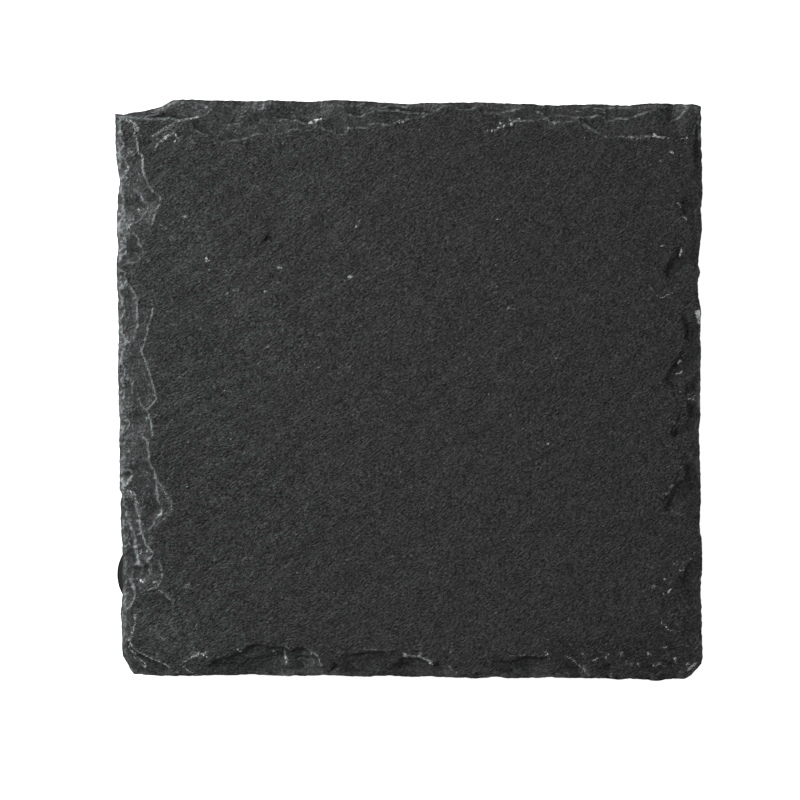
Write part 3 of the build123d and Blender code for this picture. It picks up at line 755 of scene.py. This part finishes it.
def foot_profile(radius, height):
    """Radius and height round a foot's side, from the underside's middle to the top's middle."""
    rounding, waist = 0.5, 0.05
    angle = np.radians(np.linspace(-90, 0, 7))
    up = np.linspace(0.15, 1, 7)
    parts = [
        (radius * np.linspace(0.08, 0.92, 12), np.zeros(12)),
        (radius + rounding * (np.cos(angle) - 1), rounding * (1 + np.sin(angle))),
        (radius - waist * np.sin(math.pi * up), rounding + (height - rounding) * up),
        (radius * np.linspace(0.97, 0.08, 12), np.full(12, height)),
    ]
    return np.concatenate([np.column_stack(part) for part in parts])


def make_foot(place):
    """A die-cut foam foot, its skin and cut side pitted by the foam's cells."""
    low, high = (np.array(corner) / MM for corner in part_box(f"foot_{place}"))
    centre = (low + high) / 2
    radius, height = (high[0] - low[0]) / 2, high[2] - low[2]
    profile = foot_profile(radius, height)
    angles = np.linspace(0, 2 * math.pi, FOOT_SEGMENTS, endpoint=False)
    rings = []
    for number, (ring_radius, ring_height) in enumerate(profile):
        x, y = ring_radius * np.cos(angles), ring_radius * np.sin(angles)
        cells = 0.035 * np.abs(fractal(x / 0.7 + 3 * number, y / 0.7 + ring_height / 0.7, 151, 2))
        shrink = 1 - cells / radius
        z = low[2] + ring_height + cells * (0.4 if ring_height < height / 2 else -0.4)
        rings.append(np.column_stack([centre[0] + x * shrink, centre[1] + y * shrink, z]))
    points = np.concatenate([*rings, [[*centre[:2], low[2]], [*centre[:2], high[2]]]])
    here = np.arange(len(points) - 2).reshape(len(profile), FOOT_SEGMENTS)
    after = np.roll(here, -1, axis=1)
    faces = np.stack([here[:-1], after[:-1], after[1:], here[1:]], axis=2).reshape(-1, 4).tolist()
    middle_low, middle_high = len(points) - 2, len(points) - 1
    for k in range(FOOT_SEGMENTS):
        faces.append([middle_low, after[0, k], here[0, k]])
        faces.append([middle_high, here[-1, k], after[-1, k]])
    return mesh_object(f"foam_foot_{place}", points, faces, 50)[0]


# ---------------- materials


class Shader:
    """A material's node tree, with short calls for the nodes that it needs."""

    def __init__(self, name):
        self.material = bpy.data.materials.new(name)
        self.material.use_nodes = True
        self.tree = self.material.node_tree
        self.tree.nodes.clear()

    def add(self, kind, inputs=(), **settings):
        """Adds a node. inputs maps an input's name or number to a value or another node's output."""
        made = self.tree.nodes.new(kind)
        for key, value in settings.items():
            setattr(made, key, value)
        for key, value in dict(inputs).items():
            if isinstance(value, bpy.types.NodeSocket):
                self.tree.links.new(value, made.inputs[key])
            else:
                made.inputs[key].default_value = value
        return made

    def math(self, operation, a, b=0):
        return self.add("ShaderNodeMath", {0: a, 1: b}, operation=operation).outputs[0]

    def times(self, product, *factors):
        for factor in factors:
            product = self.math("MULTIPLY", product, factor)
        return product

    def plus(self, total, *terms):
        for term in terms:
            total = self.math("ADD", total, term)
        return total

    def vector(self, operation, a, b):
        return self.add("ShaderNodeVectorMath", {0: a, 1: b}, operation=operation).outputs[0]

    def scaled(self, vector, factor):
        """A vector or colour times a number."""
        return self.add("ShaderNodeVectorMath", {0: vector, "Scale": factor}, operation="SCALE").outputs[0]

    def ramp(self, value, low, high, to_low=0, to_high=1):
        """value from low to high becomes to_low to to_high, and stays within them."""
        inputs = {"Value": value, "From Min": low, "From Max": high, "To Min": to_low, "To Max": to_high}
        return self.add("ShaderNodeMapRange", inputs).outputs[0]

    def millimetres(self):
        """Places on the object, in millimetres."""
        return self.scaled(self.add("ShaderNodeTexCoord").outputs["Object"], 1 / MM)

    def stored(self, name):
        """A number that the mesh stores for each of its points."""
        return self.add("ShaderNodeAttribute", attribute_name=name).outputs["Fac"]

    def stretched(self, place, degrees, sizes):
        """place turned about Z, with each axis divided by a feature size."""
        turn = {"Vector": place, "Angle": math.radians(-degrees)}
        aligned = self.add("ShaderNodeVectorRotate", turn, rotation_type="Z_AXIS").outputs[0]
        return self.vector("MULTIPLY", aligned, [1 / size for size in sizes])

    def noise(self, place, size=1, detail=2, roughness=0.5):
        """Noise from 0 to 1 with features of that size."""
        inputs = {"Vector": place, "Scale": 1 / size, "Detail": detail, "Roughness": roughness}
        return self.add("ShaderNodeTexNoise", inputs).outputs["Fac"]

    def streaks(self, place, degrees, sizes, detail, roughness):
        """Noise stretched along a heading in the plane of the slab."""
        return self.noise(self.stretched(place, degrees, sizes), 1, detail, roughness)

    def cells(self, place, scale, **settings):
        return self.add("ShaderNodeTexVoronoi", {"Vector": place, "Scale": scale}, **settings).outputs

    def channels(self, colour):
        return self.add("ShaderNodeSeparateColor", {0: colour}).outputs

    def mix(self, share, a, b):
        """From colour a to colour b."""
        return self.add("ShaderNodeMix", {0: share, 6: a, 7: b}, data_type="RGBA").outputs[2]

    def between(self, share, a, b):
        """From number a to number b."""
        return self.add("ShaderNodeMix", {0: share, 2: a, 3: b}, data_type="FLOAT").outputs[0]

    def finish(self, colour, roughness, height, specular):
        """Ends the tree in a Principled shader. height is in millimetres."""
        bump = self.add("ShaderNodeBump", {"Height": height, "Distance": MM, "Strength": 1})
        inputs = {
            "Base Color": colour,
            "Roughness": roughness,
            "Specular IOR Level": specular,
            "Normal": bump.outputs[0],
        }
        shader = self.add("ShaderNodeBsdfPrincipled", inputs)
        self.add("ShaderNodeOutputMaterial", {"Surface": shader.outputs[0]})
        return self.material


def slate_material():
    """Dark slate: speckled and streaked grain, ridges pale from crushing and paler toward the key light as a
    painted highlight, painted shade in creases and pits, and bruises.
    """
    s = Shader("split_slate")
    place = s.millimetres()
    leftward = s.ramp(s.add("ShaderNodeSeparateXYZ", {0: place}).outputs["X"], 5, -50)
    ridge, broken, pale, mark = (s.stored(name) for name in ("ridge", "broken", "pale", "mark"))
    wander = s.add("ShaderNodeTexNoise", {"Vector": place, "Scale": 1.2, "Detail": 2}).outputs["Color"]
    wandering = s.vector("ADD", s.scaled(wander, 0.35), place)
    grain = s.streaks(wandering, 24, (0.5, 0.18, 0.12), 2, 0.75)
    scales = s.cells(s.stretched(wandering, 20, (0.62, 0.27, 0.14)), 1)
    scale_tone = s.channels(scales["Color"])
    streaks = s.streaks(place, 26, (1.6, 0.5, 0.4), 3, 0.6)
    wisps = s.streaks(wandering, 24, (0.85, 0.36, 0.2), 1, 0.5)
    wisps = s.math("ABSOLUTE", s.plus(wisps, -0.5))
    drifts = s.streaks(place, 36, (9, 1.5, 1.5), 3, 0.6)
    patches = s.noise(place, 1.7, 3, 0.65)
    mottle = s.noise(place, 14, 3, 0.55)
    layers = s.streaks(place, 20, (3, 3, 0.16), 3, 0.6)
    scratches = s.streaks(wandering, 62, (3.2, 0.3, 0.3), 2, 0.6)

    # the split face: how light its grain is, with its contrast raised toward the key light on the left as
    # painted light and shade
    tone = s.times(
        s.math("POWER", s.ramp(grain, 0.28, 0.76, 0.5, 1.5), 2.1),
        s.ramp(wisps, 0, 0.1, 1.55, 0.84),
        s.ramp(scale_tone[0], 0, 1, 0.7, 1.3),
        s.ramp(streaks, 0.3, 0.7, 0.8, 1.2),
        s.ramp(drifts, 0.3, 0.7, 0.8, 1.2),
        s.ramp(patches, 0.3, 0.7, 0.94, 1.06),
    )
    broad = s.times(
        s.ramp(mottle, 0.3, 0.7, 0.95, 1.05),
        s.ramp(drifts, 0.3, 0.7, 0.9, 1.1),
        s.ramp(patches, 0.3, 0.7, 0.92, 1.08),
    )
    # leftward raises that contrast toward the key light: painted light and shade
    tone = s.times(tone, s.math("POWER", broad, s.times(leftward, 1.6)))
    tone = s.math("POWER", tone, s.plus(1, s.times(leftward, 0.3)))

    # the broken stone, in layers on the slab's sides
    side = s.times(broken, s.ramp(pale, 0, 0.25, 1, 0))
    strata = s.ramp(side, 0, 1, s.ramp(layers, 0.3, 0.7, 0.75, 1.25), s.ramp(layers, 0.36, 0.64, 0.35, 1.8))
    layered = s.math("POWER", tone, s.ramp(side, 0, 1, 0.85, 0.5))
    layered = s.times(layered, strata, s.ramp(scratches, 0.56, 0.72, 0.95, 2))
    tone = s.between(broken, tone, layered)
    face = s.mix(s.ramp(mottle, 0.35, 0.7), (0.026, 0.026, 0.026, 1), (0.0267, 0.0275, 0.0271, 1))
    fresh = s.mix(s.noise(place, 5, 2), (0.0247, 0.0253, 0.0254, 1), (0.029, 0.0295, 0.0305, 1))
    colour = s.scaled(s.mix(broken, face, fresh), tone)

    # crushed ridges: pale as worn stone, and paler toward the key light as a painted highlight; then painted
    # shade in creases and along the rim
    patchy = s.plus(s.noise(place, 1.1, 4, 0.7), s.times(pale, 0.26))
    crush_and_highlight = s.times(s.ramp(ridge, 0.2, 0.7), s.ramp(patchy, 0.64, 0.86), 0.9)
    colour = s.mix(crush_and_highlight, colour, (0.21, 0.225, 0.23, 1))
    # painted shade: darker where ridge is negative, in creases and along the rim
    colour = s.scaled(colour, s.ramp(ridge, -0.8, -0.1, 0.35, 1))

    # flecks, then the marks and bruises; the dark marks are mostly painted shade, and some pale ones painted
    # light
    flecks = s.cells(wandering, 0.8)
    fleck = s.times(
        s.ramp(flecks["Distance"], 0.07, 0.15, 1, 0),
        s.ramp(s.channels(flecks["Color"])[0], 0.84, 1),
        s.ramp(grain, 0.3, 0.6),
        0.9,
    )
    colour = s.mix(fleck, colour, (0.34, 0.345, 0.34, 1))
    # pale marks lighten: partly pale stone, partly painted light on facets that face the key
    colour = s.scaled(colour, s.ramp(mark, 0, 0.4, 1, 1.7))
    crumbs = s.times(s.plus(s.noise(place, 0.2, 1, 0.6), -0.5), 2.4)
    bruised = s.times(
        s.ramp(s.plus(mark, crumbs), 0.5, 0.85),
        s.ramp(mark, 0.4, 0.5),
        s.ramp(mark, 0.35, 0.75, 0.6, 1),
    )
    colour = s.mix(bruised, colour, (0.62, 0.63, 0.63, 1))
    # dark marks darken: mostly painted shade in creases, chips and a pit
    colour = s.scaled(colour, s.ramp(mark, -1, 0, 0.15, 1))
    # a slightly cool tint toward the left: the painted tint of the key light's sheen on the side it lights
    colour = s.vector("MULTIPLY", colour, s.mix(leftward, (1, 1, 1, 1), (0.955, 1, 0.998, 1)))

    roughness = s.ramp(grain, 0.25, 0.75, 0.7, 0.42)
    sheen = s.times(
        s.ramp(grain, 0.3, 0.7, 0.1, 0.6),
        s.ramp(patches, 0.3, 0.7, 0.8, 1.15),
        s.ramp(mark, -0.6, 0),
    )
    dome = s.times(s.math("SUBTRACT", scale_tone[1], scales["Distance"]), 0.08)
    face_height = s.plus(s.times(streaks, 0.08), s.times(grain, 0.2), dome, s.times(wisps, -0.3))
    scar_height = s.plus(s.times(layers, 0.08), s.times(grain, 0.12), s.times(scratches, 0.1))
    scar_height = s.plus(scar_height, s.times(layers, side, 0.3))
    return s.finish(colour, roughness, s.between(broken, face_height, scar_height), sheen)


def foam_material():
    """Black closed-cell foam with its small cells showing."""
    s = Shader("closed_cell_foam")
    place = s.millimetres()
    size = s.ramp(s.cells(place, 4, feature="SMOOTH_F1")["Distance"], 0.1, 0.6)
    colour = s.mix(size, (0.008, 0.008, 0.009, 1), (0.02, 0.02, 0.021, 1))
    roughness = s.ramp(s.noise(place, 0.5), 0.3, 0.7, 0.75, 0.95)
    return s.finish(colour, roughness, s.times(size, 0.05), 0.25)


def adhesive_material():
    """Black acrylic adhesive with small trapped bubbles."""
    s = Shader("acrylic_adhesive")
    place = s.millimetres()
    edge = s.ramp(s.cells(place, 2.2)["Distance"], 0.12, 0.2)
    haze = s.noise(place, 2.5, 3)
    tinted = s.mix(haze, (0.018, 0.018, 0.019, 1), (0.03, 0.03, 0.031, 1))
    colour = s.mix(edge, (0.045, 0.045, 0.046, 1), tinted)
    return s.finish(colour, s.ramp(haze, 0.3, 0.7, 0.25, 0.45), s.times(edge, 0.01), 0.5)


def floor_material():
    """A plain white sweep, lit a little from within as a light table is."""
    s = Shader("white_floor")
    place = s.millimetres()
    colour = s.mix(s.noise(place, 30, 3), (0.9, 0.9, 0.9, 1), (0.92, 0.92, 0.92, 1))
    diffuse = s.add("ShaderNodeBsdfDiffuse", {"Color": colour})
    glow = s.add("ShaderNodeEmission", {"Color": (1, 1, 1, 1), "Strength": 0.9})
    both = s.add("ShaderNodeAddShader", {0: diffuse.outputs[0], 1: glow.outputs[0]})
    s.add("ShaderNodeOutputMaterial", {"Surface": both.outputs[0]})
    return s.material


def cover(piece, material):
    piece.data.materials.clear()
    piece.data.materials.append(material)


# ---------------- stage


def make_floor():
    half = 3
    mesh = bpy.data.meshes.new("floor")
    corners = [(-half, -half, 0), (half, -half, 0), (half, half, 0), (-half, half, 0)]
    mesh.from_pydata(corners, [], [(0, 1, 2, 3)])
    floor = linked("floor", mesh)
    cover(floor, floor_material())


def make_lights():
    """A soft square light from the rear left, and an even world that the camera sees as white."""
    light = bpy.data.lights.new("key", "AREA")
    light.shape = "SQUARE"
    light.size = 0.24
    light.energy = 2.33
    key = linked("key", light)
    key.location = (-0.305, 0.21, 0.2)
    key.rotation_euler = (-key.location).to_track_quat("-Z", "Y").to_euler()
    world = bpy.data.worlds.new("studio")
    world.use_nodes = True
    tree = world.node_tree
    background = tree.nodes["Background"]
    background.inputs["Color"].default_value = (1, 1, 1, 1)
    seen = tree.nodes.new("ShaderNodeLightPath")
    strength = tree.nodes.new("ShaderNodeMapRange")
    strength.inputs["To Min"].default_value = 0.22
    strength.inputs["To Max"].default_value = 1
    tree.links.new(seen.outputs["Is Camera Ray"], strength.inputs["Value"])
    tree.links.new(strength.outputs[0], background.inputs["Strength"])
    bpy.context.scene.world = world
    bpy.context.scene.view_settings.view_transform = "Standard"


def make_camera():
    """Straight above the slab, as far off as shows frame_width at the height of its outline."""
    lens, sensor = 160, 36
    frame_width = 136.3
    outline_height = 5.2
    camera_data = bpy.data.cameras.new("camera")
    camera_data.lens = lens
    camera_data.sensor_width = sensor
    camera_data.clip_end = 10
    camera = linked("camera", camera_data)
    camera.location = (-1.5 * MM, -1.75 * MM, (outline_height + frame_width * lens / sensor) * MM)
    bpy.context.scene.camera = camera


# ---------------- assembly

make_camera()
make_lights()
make_floor()

slate = slate_material()
foam = foam_material()
adhesive = adhesive_material()

slab = make_slab()
cover(slab, slate)
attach(slab, "root")
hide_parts("slate_slab")

for place in ("front_left", "front_right", "rear_left", "rear_right"):
    foot = make_foot(place)
    cover(foot, foam)
    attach(foot, "root")
    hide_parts(f"foot_{place}")
    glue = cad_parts[f"adhesive_{place}"]
    glue.material_slots[0].material = adhesive
